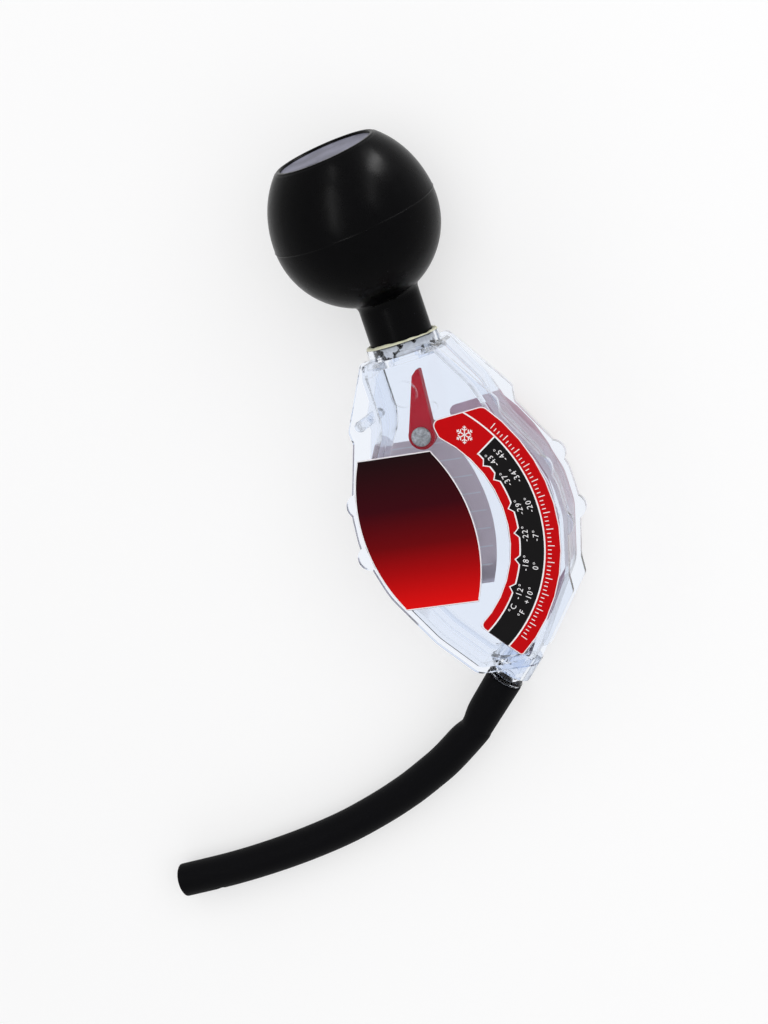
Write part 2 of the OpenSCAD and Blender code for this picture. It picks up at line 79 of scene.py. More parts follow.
print("the chamber's middle lies at", lay([0, 0, 0]).round(4))

# %% [markdown]
# ## Camera
# The photograph looks down on the dial, a little from its right and from the bulb, with the
# camera rolled. The eye stands on that line, and its axis is aimed at the point that falls in
# the middle of the picture, so no lens shift is needed.

# %% The photograph's viewpoint
PICTURE = (768, 1024)
PIXELS_PER_MM = 3.09
EYE_DISTANCE = 700
CHAMBER_PIXEL = (457, 503.5)
SENSOR = 36
view_side, view_lift, view_roll = np.radians([17, 9.5, 18.5])


def unit(v):
    """The vector at length 1."""
    v = np.asarray(v, float)
    return v / np.linalg.norm(v, axis=-1, keepdims=True)


look = np.array([
    math.sin(view_side) * math.cos(view_lift),
    math.sin(view_lift),
    math.cos(view_side) * math.cos(view_lift),
])
level = unit(np.cross([0, 1, 0], look))
right = math.cos(view_roll) * level - math.sin(view_roll) * np.cross(look, level)
above = np.cross(look, right)
eye = EYE_DISTANCE * look
off_axis = (np.array(PICTURE) / 2 - CHAMBER_PIXEL) / PIXELS_PER_MM
aim = right * off_axis[0] - above * off_axis[1]
back = unit(eye - aim)
across_view = unit(np.cross(above, back))
VIEW_AXES = turn(np.stack([across_view, np.cross(back, across_view), back]))


def stand(thing, axes, place):
    """A camera or lamp put at a place, with its X, Y and Z along the columns of axes."""
    bpy.context.scene.collection.objects.link(thing)
    thing.matrix_world = Matrix(np.vstack([np.c_[axes, place], [0, 0, 0, 1]]).tolist())
    return thing


camera = bpy.data.objects.new("camera", bpy.data.cameras.new("camera"))
stand(camera, VIEW_AXES.T, lay(eye))
camera.data.sensor_width = SENSOR
camera.data.lens = SENSOR * PIXELS_PER_MM * EYE_DISTANCE / PICTURE[1]
camera.data.clip_start = 0.01
bpy.context.scene.camera = camera
print("lens", round(camera.data.lens, 2), "mm, eye", lay(eye).round(3))

# %% [markdown]
# ## Meshes from grids
# Nearly every new piece is a closed profile carried along a path: a rubber ball is a ring
# carried up its axis, a printed line is a thin rectangle carried along a curve. One function
# makes a mesh from such a grid of points, whole arrays at a time.

# %% A closed surface from a grid of points
def mesh_object(name, verts, faces, sharp=40):
    """A smooth-shaded object from points and faces, with the faces turned outwards."""
    mesh = bpy.data.meshes.new(name)
    mesh.from_pydata(np.asarray(verts).tolist(), [], faces)
    work = bmesh.new()
    work.from_mesh(mesh)
    bmesh.ops.recalc_face_normals(work, faces=work.faces)
    work.to_mesh(mesh)
    work.free()
    mesh.polygons.foreach_set("use_smooth", np.ones(len(mesh.polygons), bool))
    mesh.set_sharp_from_angle(angle=math.radians(sharp))
    piece = bpy.data.objects.new(name, mesh)
    bpy.context.scene.collection.objects.link(piece)
    return piece


def grid_faces(rows, columns, loop):
    """Quads of a grid whose columns close on themselves. Rows close too in a loop, and else
    get end caps."""
    i, j = np.meshgrid(np.arange(rows if loop else rows - 1), np.arange(columns), indexing="ij")
    here, beside = i * columns, ((i + 1) % rows) * columns
    across = (j + 1) % columns
    quads = np.stack([here + j, here + across, beside + across, beside + j], -1)
    faces = quads.reshape(-1, 4).tolist()
    if loop:
        return faces
    last = (rows - 1) * columns
    return faces + [list(range(columns))[::-1], list(range(last, last + columns))]


def carried(name, grid, loop=False, sharp=40):
    """A mesh from rows of closed profiles: grid is rows by columns by XYZ, in metres."""
    rows, columns = grid.shape[:2]
    return mesh_object(name, grid.reshape(-1, 3), grid_faces(rows, columns, loop), sharp)


print("a looped grid of 4 rows and 6 columns has", len(grid_faces(4, 6, True)), "faces")


# %% Turns and rides
def full_turn(count):
    """Angles of a whole turn in equal steps, without the last one, which is the first again."""
    return np.linspace(0, 2 * math.pi, count, endpoint=False)


def on_chamber(piece, node=None):
    """The piece rides on the chamber, and may stand for a CAD node, which is then hidden."""
    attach(piece, "chamber")
    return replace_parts(piece, node) if node else piece


print("a turn in eight steps:", np.degrees(full_turn(8)).round(1).tolist())

# %% [markdown]
# ## Hose
# The suction hose is soft rubber, pushed over a tapered spigot that stretches it. From there
# it falls to the floor in one long curve, and its end is cut square and open, with an air hole
# in the side. It is a ring profile carried along a smooth curve through the route's points,
# out along the skin and back along the bore, so the wall has its real thickness.

# %% The hose's route
SPIGOT_AT, SPIGOT_SLANT = np.array([3.1, -54.5, 0]), math.radians(48)
SPIGOT_WAY = np.array([-math.sin(SPIGOT_SLANT), -math.cos(SPIGOT_SLANT), 0])
SEAT_AT, SEAT_LEN = 8.6, 20
HOSE_D, HOSE_BORE, FLOOR_GAP = 12, 8, 0.05
PATH_STEPS, FINE_STEPS = 2, 24
HOSE_FREE = np.array([
    [-28, -22, 3.5], [-36.5, -26.2, 2.5], [-46, -30.3, 1.5], [-58, -34.4, 0.6],
    [-72, -38.1, 0.15], [-87, -40.7, 0], [-102, -42.4, 0], [-118, -43.4, 0], [-137, -43.6, 0],
])
stations = SEAT_AT + np.array([0, 5, 10, 15, 20, 22])
on_spigot = lay(SPIGOT_AT + stations[:, None] * SPIGOT_WAY)
hose_mouth = on_spigot[0]
on_floor = HOSE_FREE * MM + [hose_mouth[0], hose_mouth[1], (HOSE_D / 2 + FLOOR_GAP) * MM]
hose_route = np.vstack([on_spigot, on_floor])


def smooth_curve(points, steps):
    """Points on the curve through a route: a Catmull-Rom cubic between each pair of its points."""
    p = np.vstack([points[:1], points, points[-1:]])
    t = np.linspace(0, 1, steps, endpoint=False)[:, None]
    a, b, c, d = p[:-3, None], p[1:-2, None], p[2:-1, None], p[3:, None]
    line = 0.5 * (2 * b + (c - a) * t + (2 * a - 5 * b + 4 * c - d) * t**2
                  + (3 * b - a - 3 * c + d) * t**3)
    return np.vstack([line.reshape(-1, 3), points[-1:]])


def lengths(line):
    """Distance of each point of a line from its start, along the line."""
    return np.r_[0, np.cumsum(np.linalg.norm(np.diff(line, axis=0), axis=1))]


# %% The hose's skin and bore
SEAT_ROOT, SEAT_TIP, SEAT_GAP = 8.4, 7.4, 0.2
RELAX_FROM, RELAX_TO = SEAT_LEN - 0.5, SEAT_LEN + 5
HOSE_TRIM, END_TRIM = 0.21, 0.05 * MM
HOSE_AROUND, HOSE_ROWS = 72, 420


def smoothstep(x, low, high):
    """0 below low, 1 above high, and 3t^2 - 2t^3 in between."""
    t = np.clip((x - low) / (high - low), 0, 1)
    return t * t * (3 - 2 * t)


def hose_radii(d):
    """Skin and bore in millimetres at distance d: the bore follows the spigot's taper and then
    relaxes, and the skin keeps the area of the wall, a little inside the CAD model's flat sides."""
    taper = SEAT_ROOT + (SEAT_TIP - SEAT_ROOT) * np.minimum(d / SEAT_LEN, 1)
    relaxed = smoothstep(d, RELAX_FROM, RELAX_TO)
    bore = (taper / 2 + SEAT_GAP) * (1 - relaxed) + HOSE_BORE / 2 * relaxed
    return np.sqrt(bore**2 + (HOSE_D**2 - HOSE_BORE**2) / 4) - HOSE_TRIM, bore


fine_route = smooth_curve(hose_route, FINE_STEPS)
fine_far = lengths(fine_route)
far = np.linspace(0, 1, HOSE_ROWS) * (fine_far[-1] - END_TRIM)
hose_line = np.stack([np.interp(far, fine_far, axis) for axis in fine_route.T], -1)
hose_turn = full_turn(HOSE_AROUND)
skin, bore = (np.repeat(r[:, None], HOSE_AROUND, 1) * MM for r in hose_radii(far / MM))
print("skin from", round(skin.min() / MM, 2), "to", round(skin.max() / MM, 2), "mm in radius")

# %% [markdown]
# Three small things tell a rubber hose from a plain tube: the cut edges are a little rounded,
# the inside of the bend has a shallow crease where the spigot ends, and the air hole goes in
# nearly to the bore. Each takes something off the array of skin radii.

# %% The hose's edges, crease and air hole
LIP = 0.5 * MM
CREASE_AT, CREASE_LONG, CREASE_DEEP = 20.5 * MM, 4 * MM, 0.9 * MM
HOLE_BACK, HOLE_R, HOLE_LIFT, HOLE_FLOOR = 13 * MM, 1.5 * MM, math.radians(20), 0.1 * MM
HOLE_FROM, HOLE_TO = 0.8 * HOLE_R, 1.15 * HOLE_R


def hose_rings(radius):
    """Rings round the hose's line: radius times (cos a side + sin a up), with side kept level."""
    along = unit(np.gradient(hose_line, axis=0))
    across = unit(np.cross(along, [0, 0, 1]))
    up = np.cross(across, along)
    a = hose_turn[:, None]
    spokes = across[:, None] * np.cos(a) + up[:, None] * np.sin(a)
    return hose_line[:, None] + spokes * radius[:, :, None]


from_end = np.minimum(far, far[-1] - far)[:, None]
skin = skin - LIP + np.sqrt(np.maximum(LIP**2 - np.maximum(LIP - from_end, 0) ** 2, 0))
inside_bend = np.maximum(np.cos(hose_turn), 0) ** 2
skin = skin - CREASE_DEEP * np.exp(-(((far - CREASE_AT) / CREASE_LONG) ** 2))[:, None] * inside_bend
hole_row = np.argmin(abs(far - (far[-1] - HOLE_BACK)))
hole_way = np.array([0, -math.cos(HOLE_LIFT), math.sin(HOLE_LIFT)])
hole_mouth = hose_line[hole_row] + hole_way * HOSE_D / 2 * MM
from_hole = np.linalg.norm(hose_rings(skin) - hole_mouth, axis=-1)
in_hole = 1 - smoothstep(from_hole, HOLE_FROM, HOLE_TO)
skin = skin - (skin - bore - HOLE_FLOOR) * in_hole
hose_grid = np.concatenate([hose_rings(skin), hose_rings(bore)[::-1]])
hose = carried("suction_hose_tube", hose_grid, loop=True, sharp=60)
on_chamber(hose, "suction_hose")
print("hose mesh", len(hose.data.polygons), "faces")

# %% [markdown]
# ## Bulb
# The bulb is one hollow rubber moulding: a ball that is round below and drawn out above, cut
# off flat, on a short neck. The chamber's weight bends the neck a little, so the ball leans to
# the front. Squeezing it moves its end disc, so the ball is its own piece, and the neck is
# another. The ball is a profile turned about its axis, and the mould's parting line is a fine
# ridge on it with a small step.

# %% The ball's axis
BALL_R, BALL_UP, BALL_TRIM = 27, 31, 0.01
BALL_LEAN, BALL_TIP = math.radians(2.4), math.radians(10)
NECK_R, NECK_TOP, NECK_FOOT = 10.25, 71.4, 52
END_R = 16.75
cut_low = math.sqrt(BALL_R**2 - NECK_R**2)
cut_high = BALL_UP * math.sqrt(1 - (END_R / BALL_R) ** 2)
ball_side = np.array([math.cos(BALL_LEAN), math.sin(BALL_LEAN), 0])
upright = np.array([-math.sin(BALL_LEAN), math.cos(BALL_LEAN), 0])
ball_axis = upright * math.cos(BALL_TIP) + np.array([0, 0, math.sin(BALL_TIP)])
ball_front = np.cross(ball_axis, ball_side)
ball_at = np.array([0, NECK_TOP, 0]) + cut_low * ball_axis

# %% The ball
DISC_R, RECESS, RECESS_EDGE, RIM = 15.3, 2, 0.25, 0.5
SEAM_AT, SEAM_UP, SEAM_WIDE, SEAM_STEP, SEAM_FADE = 1.3, 0.12, 0.22, 0.09, 2
SEAM_CLOSE, SEAM_CLEAR = 0.035, 0.04
BALL_AROUND, BALL_ROWS, SEAM_ROWS, RIM_ROWS = 128, 60, 29, 6


def revolved(profile, around):
    """Rings from a profile of radius and height about the ball's leaning axis:
    (r cos a, r sin a, h) along its side, front and axis."""
    a = full_turn(around)
    r, h = np.asarray(profile, float).T
    upward = np.outer(h, np.ones(around))
    rings = np.stack([np.outer(r, np.cos(a)), np.outer(r, np.sin(a)), upward], -1)
    return lay(ball_at + rings @ np.stack([ball_side, ball_front, ball_axis]))


def ball_profile():
    """Radius and height up the ball: R cos a and R sin a below, U sin a above. Close rows carry
    the seam's ridge and step, and the rim is rounded into the recess for the disc."""
    seam = math.asin(SEAM_AT / BALL_UP)
    a = np.r_[np.linspace(-math.asin(cut_low / BALL_R), seam - SEAM_CLEAR, BALL_ROWS),
              seam + np.linspace(-SEAM_CLOSE, SEAM_CLOSE, SEAM_ROWS),
              np.linspace(seam + SEAM_CLEAR, math.asin(cut_high / BALL_UP), BALL_ROWS)]
    r = (BALL_R - BALL_TRIM) * np.cos(a)
    h = np.where(a < 0, BALL_R, BALL_UP) * np.sin(a)
    past = h - SEAM_AT
    ridge = SEAM_UP * np.exp(-((past / SEAM_WIDE) ** 2))
    step = SEAM_STEP * (past > 0) * np.exp(-past / SEAM_FADE)
    side = np.c_[r + ridge + step, h][h < cut_high - RIM]
    b = np.linspace(0, math.pi / 2, RIM_ROWS)[1:]
    rim = np.c_[END_R - RIM * (1 - np.cos(b)), cut_high - RIM * (1 - np.sin(b))]
    recess = [[DISC_R + RECESS_EDGE, cut_high], [DISC_R, cut_high - RECESS_EDGE],
              [DISC_R, cut_high - RECESS]]
    return np.vstack([side, rim, recess])


ball = carried("squeeze_ball", revolved(ball_profile(), BALL_AROUND), sharp=50)
on_chamber(ball, "squeeze_bulb")
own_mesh(ball)
print("ball mesh", len(ball.data.polygons), "faces")

# %% [markdown]
# The neck runs into the ball with a fillet, but the two axes differ, so a turned profile would
# leave a lip on one side. A small ball that rolls in the corner between a cylinder and a sphere
# has a simple path: its middle keeps one distance from the neck's axis and one from the ball's
# middle. Between the two places where it touches, the fillet is an arc.

# %% The neck
NECK_BORE, NECK_EDGE, NECK_OVER = 7.25, 0.3, 1
NECK_AROUND, SHAFT_ROWS, FILLET_ROWS = 128, 24, 14
FILLET, SINK = 3.2, 0.16
neck_turn = full_turn(NECK_AROUND)
neck_ring = np.stack([np.cos(neck_turn), np.zeros(NECK_AROUND), np.sin(neck_turn)], -1)


def neck_rows(radius, height):
    """Rings round the neck's axis at a radius, with one height or a height for each angle."""
    return radius * neck_ring + np.asarray(height, float)[..., None] * np.array([0, 1, 0])


def swung(u, v, w, t):
    """One spoke turned into another by a part t of the angle w between them:
    (sin((1-t) w) u + sin(t w) v) / sin w."""
    return (np.sin((1 - t) * w) * u + np.sin(t * w) * v) / np.sin(w)


def fillet_rows(steps):
    """Arcs from the neck's side to the ball's surface: one spoke of the rolling ball swings into
    the other."""
    beside = (NECK_R + FILLET) * neck_ring - ball_at * [1, 0, 1]
    drop = np.sqrt((BALL_R - SINK + FILLET) ** 2 - (beside**2).sum(-1))
    middle = neck_rows(NECK_R + FILLET, ball_at[1] - drop)
    u = -neck_ring
    v = unit(ball_at - middle)
    w = np.arccos((u * v).sum(-1))[None, :, None]
    t = np.linspace(0, 1, steps)[:, None, None]
    return middle + FILLET * swung(u, v, w, t)


fillet = fillet_rows(FILLET_ROWS)
foot = NECK_FOOT + NECK_EDGE
rise = np.linspace(0, 1, SHAFT_ROWS)[1:-1, None]
neck_grid = np.concatenate([
    neck_rows(NECK_BORE, [[NECK_FOOT]]),
    neck_rows(NECK_R - NECK_EDGE, [[NECK_FOOT]]),
    neck_rows(NECK_R, [[foot]]),
    neck_rows(NECK_R, foot + (fillet[0, :, 1] - foot) * rise),
    fillet,
    neck_rows(NECK_BORE, [[NECK_TOP + NECK_OVER]]),
])
neck = carried("bulb_neck", lay(neck_grid), loop=True, sharp=50)
on_chamber(neck, "squeeze_bulb")
print("neck mesh", len(neck.data.polygons), "faces")

# %% [markdown]
# ## Sealant
# The neck is glued into the collar, and the glue has squeezed out as a cream bead. A machined
# ring would look wrong, so its round profile swells and shrinks round the neck by a few sine
# waves of different lengths.

# %% The bead of sealant
SEAL_R, SEAL_BEAD, SEAL_HIGH, SEAL_Y = 11.1, 0.85, 0.85, 56
SPREAD, BLUNT, SEAL_AROUND, SEAL_ROWS = 0.3, 0.8, 240, 13
SWELLS = ((0.34, 1, -0.9), (0.16, 3, 0.4), (0.13, 7, 2), (0.08, 17, 0))
round_neck = full_turn(SEAL_AROUND)[:, None]
swell = sum(size * np.sin(waves * round_neck + start) for size, waves, start in SWELLS)
bead = np.linspace(0, math.pi, SEAL_ROWS)
bead_r = SEAL_R + SEAL_BEAD * np.cos(bead) * np.minimum(1 + SPREAD * swell, 1)
bead_y = SEAL_Y + SEAL_HIGH * np.sin(bead) ** BLUNT * (1 + swell)
seal_grid = np.stack([bead_r * np.cos(round_neck), bead_y, -bead_r * np.sin(round_neck)], -1)
seal = carried("neck_sealant", lay(seal_grid), loop=True, sharp=60)
on_chamber(seal, "neck_seal_ring")
print("sealant mesh", len(seal.data.polygons), "faces")

# %% [markdown]
# ## Labels
# Four thin printed films lie in shallow recesses of the two clear panels. A print is only
# colour, but its edges should stay crisp at any distance, so each printed area is its own thin
# strip a few hundredths of a millimetre above the film. A strip lies between two plane curves.

# %% Strips, plates and strokes
FILM_BACK, FILM_FACE = 11.95, 12.15
LAYER = 0.01


def layer(first, count=1):
    """Heights of a print's lower and upper side, in layers counted up from the film's face."""
    return FILM_FACE + first * LAYER, FILM_FACE + (first + count) * LAYER


def faced(points, height, front):
    """Plane points of the dial side at a height above the middle, on the front or rear panel."""
    points = np.asarray(points, float)
    z = np.full(points.shape[:-1] + (1,), height if front else -height)
    return np.concatenate([points, z], -1)


def strip(name, one, other, low, high, front):
    """A flat strip between two curves: its four-cornered profile is carried along the pair."""
    corners = ((one, low), (other, low), (other, high), (one, high))
    rows = np.stack([faced(curve, height, front) for curve, height in corners], 1)
    return carried(name, lay(rows), sharp=30)


def plate(name, outline, low, high, front):
    """A thin plate: a closed outline carried from one height to another."""
    rows = np.stack([faced(outline, height, front) for height in (low, high)])
    return carried(name, lay(rows), sharp=30)


def strokes(name, starts, stops, width, low, high, front):
    """Many straight strokes as one mesh: each is a box of that width from its start to its stop."""
    starts, stops = np.asarray(starts, float), np.asarray(stops, float)
    along = unit(stops - starts)
    across = np.stack([-along[:, 1], along[:, 0]], -1) * width / 2
    flat = np.stack([starts - across, stops - across, stops + across, starts + across], 1)
    verts = np.concatenate([faced(flat, low, front), faced(flat, high, front)], 1).reshape(-1, 3)
    box = np.array([[0, 1, 2, 3], [4, 5, 6, 7], [0, 1, 5, 4],
                    [1, 2, 6, 5], [2, 3, 7, 6], [3, 0, 4, 7]])
    faces = (np.arange(len(starts))[:, None, None] * 8 + box).reshape(-1, 4).tolist()
    return mesh_object(name, lay(verts), faces, 30)


print("films", round(FILM_FACE - FILM_BACK, 2), "mm thick, printed in layers of", LAYER, "mm")

# %% [markdown]
# ### Dial
# The dial is a ring sector with a level top. Its red field carries a black band whose inner
# edge has a tooth at each reading, white rules, and the temperatures in both units. Everything
# on it is a function of the angle about the dial's centre, so its curves are arrays of angles.

# %% Arcs and rounded outlines
DIAL_C = np.array([-21.2, -4.7])
ROUND_POINTS, NEARLY_STRAIGHT = 9, 1.56


def arc(radius, start, stop, count):
    """Points of an arc about the dial's centre, between two angles in degrees."""
    a = np.radians(np.linspace(start, stop, count))
    return DIAL_C + np.asarray(radius)[..., None] * np.stack([np.cos(a), np.sin(a)], -1)


def rounded(corners, radii):
    """A closed outline with its corners rounded: each arc touches both sides at a distance of
    r / tan(half angle) from the corner, and swings one spoke into the other."""
    made = []
    around = zip(np.roll(corners, 1, 0), corners, np.roll(corners, -1, 0), radii)
    for before, corner, after, r in around:
        u, v = unit(before - corner), unit(after - corner)
        half = math.acos(np.clip(u @ v, -1, 1)) / 2
        if r == 0 or half > NEARLY_STRAIGHT:
            made.append(corner[None])
            continue
        middle = corner + unit(u + v) * r / math.sin(half)
        one, other = (corner + way * r / math.tan(half) - middle for way in (u, v))
        t = np.linspace(0, 1, ROUND_POINTS)[:, None]
        made.append(middle + swung(one, other, math.pi - 2 * half, t))
    return np.vstack(made)


def shrunk(outline, d):
    """A closed anticlockwise outline moved inwards by d along its normals."""
    along = unit(np.roll(outline, -1, 0) - np.roll(outline, 1, 0))
    return outline + d * np.stack([-along[:, 1], along[:, 0]], -1)


print("a rounded corner has", ROUND_POINTS, "points")

# %% The dial's outline
DIAL_IN, DIAL_OUT = 38.7, 55.2
DIAL_TOP, DIAL_TOP_LEFT = 29.8, 3.9
LOW_IN, LOW_OUT, HIGH_IN = -60.5, -57.7, 47.8
HIGH_OUT = math.degrees(math.asin((DIAL_TOP - DIAL_C[1]) / DIAL_OUT))
ROUND_TOP_LEFT, ROUND_TOP_RIGHT, ROUND_LOW_LEFT, ROUND_LOW_RIGHT = 2.4, 3, 2, 1.2
SIDE_POINTS = 13
dial_corners = np.vstack([
    arc(DIAL_OUT, LOW_OUT, HIGH_OUT, SIDE_POINTS),
    [[DIAL_TOP_LEFT, DIAL_TOP]],
    arc(DIAL_IN, HIGH_IN, LOW_IN, SIDE_POINTS),
])
plain = [0] * (SIDE_POINTS - 2)
dial_outline = rounded(dial_corners, [
    ROUND_LOW_RIGHT, *plain, ROUND_TOP_RIGHT, ROUND_TOP_LEFT, ROUND_TOP_LEFT, *plain,
    ROUND_LOW_LEFT])
print("dial outline", len(dial_outline), "points")


# %% The dial's bands and rules
BAND_IN, BAND_OUT, BAND_LOW, BAND_HIGH = 41.7, 49.9, -61, 29
TOOTH, TOOTH_WIDE = 1.5, 2.1
RULE_WIDE, LONG_RULE_END, TOP_RULE_OVER = 0.48, 43.4, 0.1
WHITE_EDGE, FIELD_EDGE, END_EDGE = 0.05, 0.32, 0.05
BAND_POINTS, RULE_POINTS = 700, 300
teeth = np.array([23.6, 15.8, 1.2, -10.4, -22.6, -35.8])
low_end = np.vstack([arc(DIAL_IN, LOW_IN, LOW_IN, 1), arc(DIAL_OUT, LOW_OUT, LOW_OUT, 1)])


def toothed():
    """The band's inner radius over its angles: even, less a triangle at each tooth's angle."""
    angles = np.linspace(BAND_LOW, BAND_HIGH, BAND_POINTS)
    near = np.min(abs(angles[:, None] - teeth), axis=1)
    return BAND_IN - TOOTH * np.maximum(1 - near / TOOTH_WIDE, 0)


def band_curve(radius, stop=BAND_HIGH, count=BAND_POINTS):
    """A curve along the band, at one radius or at one for each angle. Where it runs past the
    dial's lower end, it is drawn back onto the end's line."""
    curve = arc(radius, BAND_LOW, stop, count)
    way = unit(low_end[1] - low_end[0])
    normal = np.array([-way[1], way[0]])
    past = np.minimum((curve - low_end[0]) @ normal - END_EDGE, 0)
    return curve - past[:, None] * normal


def dial_print(side, front):
    """The dial's printed layers on one film, from the white ground up to the rules."""
    dial = f"{side}_dial_"
    inner, outer, tooth_edge = (
        band_curve(radius) for radius in (toothed(), BAND_OUT, toothed() + RULE_WIDE))
    long_edges = [band_curve(BAND_OUT + half, LONG_RULE_END, RULE_POINTS)
                  for half in (RULE_WIDE / 2, -RULE_WIDE / 2)]
    top = [arc(r, BAND_HIGH, BAND_HIGH, 1) for r in (BAND_IN - TOP_RULE_OVER, BAND_OUT)]
    ground, field = (shrunk(dial_outline, edge) for edge in (WHITE_EDGE, FIELD_EDGE))
    return {
        "ground": plate(dial + "ground", ground, *layer(0), front),
        "field": plate(dial + "field", field, *layer(1), front),
        "band": strip(dial + "band", inner, outer, *layer(2), front),
        "tooth_rule": strip(dial + "tooth_rule", inner, tooth_edge, *layer(3), front),
        "long_rule": strip(dial + "long_rule", *long_edges, *layer(3), front),
        "top_rule": strokes(dial + "top_rule", *top, RULE_WIDE, *layer(3), front),
    }


print("teeth at", teeth.tolist(), "degrees")

# %% [markdown]
# The red block carries a plain frost star, a common sign for freezing, and the outer band an
# even row of ticks. The numbers are what a reader looks for, so they are true shapes from
# Blender's own font: each line of text is turned to run along the dial, as one mesh.

# %% The temperatures
CELSIUS = {"-43°": 23.3, "-37°": 13.5, "-29°": 0.6, "-22°": -11, "-18°": -23.6, "-12°": -36.4,
           "°C": -44.4}
FAHRENHEIT = {"-45°": 22.8, "-34°": 13, "-20°": 0.4, "-7°": -12, "0°": -24.2, "+10°": -36.6,
              "°F": -44.6}
ROWS = ((CELSIUS, 44.0), (FAHRENHEIT, 47.3))
DIGIT_HIGH, DIGIT_WIDE, DIGIT_GAP = 1.85, 1.75, 1.22
FONT_DIGIT = 0.7


def letters(text):
    """A line of text about its own middle: its points with digits of height 1, which of them lie
    on the upper side, and its faces."""
    curve = bpy.data.curves.new("numbers", "FONT")
    curve.body, curve.align_x, curve.align_y = text, "CENTER", "CENTER"
    curve.extrude, curve.resolution_u, curve.space_character = 0.001, 3, DIGIT_GAP
    maker = bpy.data.objects.new("numbers", curve)
    mesh = bpy.data.meshes.new_from_object(maker)
    verts = np.zeros(len(mesh.vertices) * 3)
    mesh.vertices.foreach_get("co", verts)
    verts = verts.reshape(-1, 3)
    faces = [list(p.vertices) for p in mesh.polygons]
    bpy.data.objects.remove(maker)
    bpy.data.curves.remove(curve)
    bpy.data.meshes.remove(mesh)
    return verts[:, :2] / FONT_DIGIT, verts[:, 2] > 0, faces


def numbers(side, front):
    """The temperatures as one mesh: each line runs along the dial, its top towards the centre."""
    points, faces, count = [], [], 0
    for marks, radius in ROWS:
        for text, angle in marks.items():
            flat, upper, polygons = letters(text)
            a = math.radians(angle)
            out = np.array([math.cos(a), math.sin(a)])
            along = np.array([-math.sin(a), math.cos(a)])
            flat = flat * [DIGIT_WIDE, DIGIT_HIGH if front else -DIGIT_HIGH]
            spot = DIAL_C + radius * out + flat[:, :1] * along - flat[:, 1:] * out
            low, high = (faced(spot, height, front) for height in layer(3, 1.5))
            points.append(np.where(upper[:, None], high, low))
            faces += [[count + v for v in polygon] for polygon in polygons]
            count += len(flat)
    return mesh_object(f"{side}_dial_numbers", lay(np.vstack(points)), faces, 30)


print("temperatures", [text for marks, radius in ROWS for text in marks])

# %% Ticks and the frost star
TICK_ANGLES = np.arange(-52, 33, 1.5)
TICK_OUT, TICK_WIDE, TICK_LONG, TICK_SHORT = 1.0, 0.26, 2.2, 1.2
STAR_AT, STAR_REACH, STAR_TURN, STAR_WIDE = np.array([13.2, 22.6]), 2.9, 12, 0.3
BARBS = ((0.5, 1.0), (0.78, 0.6))


def ways(angles):
    """Unit vectors in the plane at angles in degrees."""
    a = np.radians(angles)
    return np.stack([np.cos(a), np.sin(a)], -1)


def ticks(side, front):
    """Short radial strokes along the outer band, every fourth one longer."""
    way = ways(TICK_ANGLES)
    tall = np.where(np.arange(len(way)) % 4 == 0, TICK_LONG, TICK_SHORT)[:, None]
    start = DIAL_C + (BAND_OUT + TICK_OUT) * way
    return strokes(
        f"{side}_dial_ticks", start, start + tall * way, TICK_WIDE, *layer(2, 1.5), front)


def frost_star(side, front):
    """Six arms, each with two pairs of barbs at 60 degrees, as straight strokes."""
    angles = np.arange(0, 360, 60) + STAR_TURN
    arms = ways(angles)
    starts, stops = [np.repeat(STAR_AT[None], 6, 0)], [STAR_AT + STAR_REACH * arms]
    for at, length in BARBS:
        for swing in (60, -60):
            root = STAR_AT + at * STAR_REACH * arms
            starts.append(root)
            stops.append(root + length * ways(angles + swing))
    return strokes(
        f"{side}_frost_star", np.vstack(starts), np.vstack(stops), STAR_WIDE, *layer(2, 1.5), front)


print(len(TICK_ANGLES), "ticks, and a star with", 2 * len(BARBS), "barbs on each arm")

# %% Both dials
SIDES = (("front", True, ""), ("rear", False, "rear_"))
dial_pieces = {}
for side, front, slot_start in SIDES:
    made = {"film": plate(f"{side}_dial_film", dial_outline, FILM_BACK, FILM_FACE, front)}
    made.update(dial_print(side, front))
    for part, maker in (("numbers", numbers), ("ticks", ticks), ("star", frost_star)):
        made[part] = maker(side, front)
    for part, piece in made.items():
        node = f"{side}_dial_label" if part == "film" else None
        on_chamber(piece, node)
    dial_pieces[side] = made
    print(side, "dial", sum(len(p.data.polygons) for p in made.values()), "faces")

# %% [markdown]
# ### Badge
# The barrel-shaped badge lies between two large arcs and two slanted ends. On the front it is
# one plain fade from near black to red. The rear one is a pale card with ruled lines, which
# show through the chamber, so its lines are on both sides of the film.

# %% The badges
BADGE_R, BADGE_TURN = 54, math.radians(-7.3)
BADGE_TOP, BADGE_LOW, BADGE_POINTS = 20.8, -30.2, 60
BADGE_ARCS = (np.array([-47, -4.4]), 1), (np.array([23.8, -2]), -1)
FACE_EDGE = 0.34
LINE_LEVELS, LINE_INSET, LINE_WIDE = np.arange(-24, 20, 6.1), 1.2, 0.45
badge_up = np.array([-math.sin(BADGE_TURN), math.cos(BADGE_TURN)])
badge_way = np.array([math.cos(BADGE_TURN), math.sin(BADGE_TURN)])


def badge_side(centre, sign, levels):
    """Where lines across the badge meet one of its arcs: the root of a circle and a line."""
    k = np.asarray(levels, float)
    m = badge_way @ centre
    reach = np.sqrt(m**2 - centre @ centre + 2 * k * (badge_up @ centre) - k**2 + BADGE_R**2)
    return k[:, None] * badge_up + (m + sign * reach)[:, None] * badge_way


